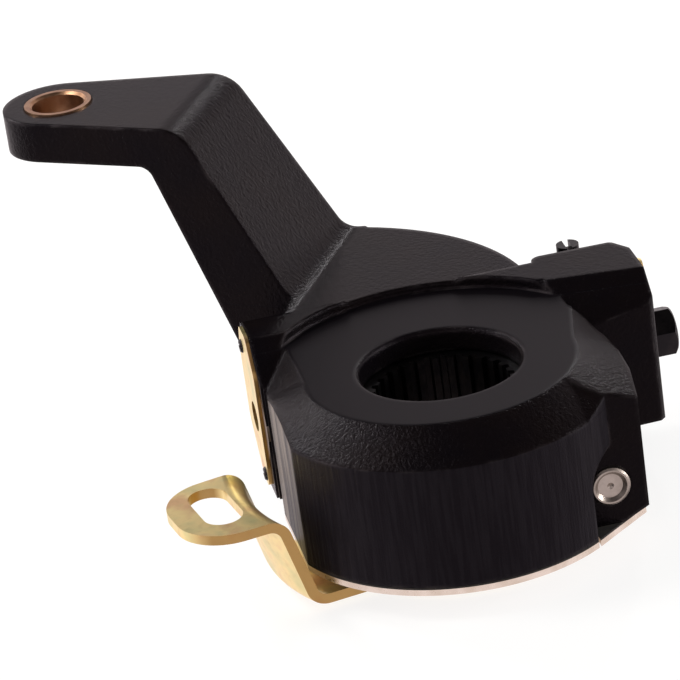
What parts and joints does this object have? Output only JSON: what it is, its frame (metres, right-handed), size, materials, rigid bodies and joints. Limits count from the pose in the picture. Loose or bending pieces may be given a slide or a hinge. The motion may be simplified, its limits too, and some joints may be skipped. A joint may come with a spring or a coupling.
{
  "type": "brake slack adjuster",
  "caption": "Self-setting brake adjuster: cranked cast lever with a splined worm wheel in its hub, a worm shaft with hexagon end, and a bent control arm below.",
  "frame": {"origin": "on the camshaft axis, in the middle of the spline of the worm wheel", "axes": "+Z along the camshaft axis out of the hub face, +X along the worm shaft towards its hexagon, +Y from the camshaft to the worm"},
  "size_m": [0.1579, 0.1629, 0.0978],
  "materials": {
    "black_paint": "satin black paint on rough cast iron",
    "yellow_zinc": "yellow passivated zinc",
    "bronze": "turned bronze",
    "steel": "machined steel",
    "bright_steel": "pale plated steel",
    "dark_steel": "blackened steel",
    "wheel_iron": "machined iron",
    "seal_rubber": "matt",
    "gasket": "matt"
  },
  "bodies": {
    "lever": {"housing": "black_paint", "clevis_bush": "bronze", "end_plate": "yellow_zinc", "end_plate_screws": "dark_steel", "spring_seat": "steel", "clutch_spring": "dark_steel", "worm_bush_left": "bronze", "thrust_washer": "steel", "worm_bush_right": "bronze", "worm_seal": "seal_rubber", "bearing_plug": "steel", "lock_screw": "yellow_zinc", "rack_plug": "steel", "wheel_bearing": "bronze", "cover_plate": "bright_steel", "cover_gasket": "gasket", "cover_screws": "steel", "grease_plug": "dark_steel", "rack_spring": "steel"},
    "wheel": {"worm_wheel": "wheel_iron", "hub_seal": "seal_rubber"},
    "worm": {"worm_shaft": "steel", "clutch_wheel": "steel", "hex_end": "dark_steel"},
    "gear": {"one_way_gear": "steel", "one_way_spring": "dark_steel"},
    "rack": {"rack": "steel"},
    "control": {"control_disc": "steel", "control_arm": "yellow_zinc", "control_rivets": "steel"}
  },
  "joints": [
    {"name": "wheel_turn", "type": "hinge", "parent": "lever", "child": "wheel", "pos_m": [0, 0, 0], "axis": [0, 0, 1], "continuous": true},
    {"name": "worm_turn", "type": "hinge", "parent": "lever", "child": "worm", "pos_m": [0, 0.033, 0.0029], "axis": [1, 0, 0], "continuous": true},
    {"name": "control_swing", "type": "hinge", "parent": "lever", "child": "control", "pos_m": [0, 0, 0], "axis": [0, 0, 1], "range_deg": [-12, 12]},
    {"name": "rack_slide", "type": "slide", "parent": "lever", "child": "rack", "axis": [0, 1, 0], "range_m": [-0.007, 0.007], "deforming": ["rack_spring"]},
    {"name": "gear_turn", "type": "hinge", "parent": "lever", "child": "gear", "pos_m": [0, 0.033, 0.0029], "axis": [1, 0, 0], "range_deg": [-52, 52]}
  ],
  "couplings": [
    {"joint": "worm_turn", "follows": "wheel_turn", "ratio": 23},
    {"joint": "rack_slide", "follows": "control_swing", "m_per_rad": 0.0333},
    {"joint": "gear_turn", "follows": "control_swing", "ratio": 4.1625}
  ]
}
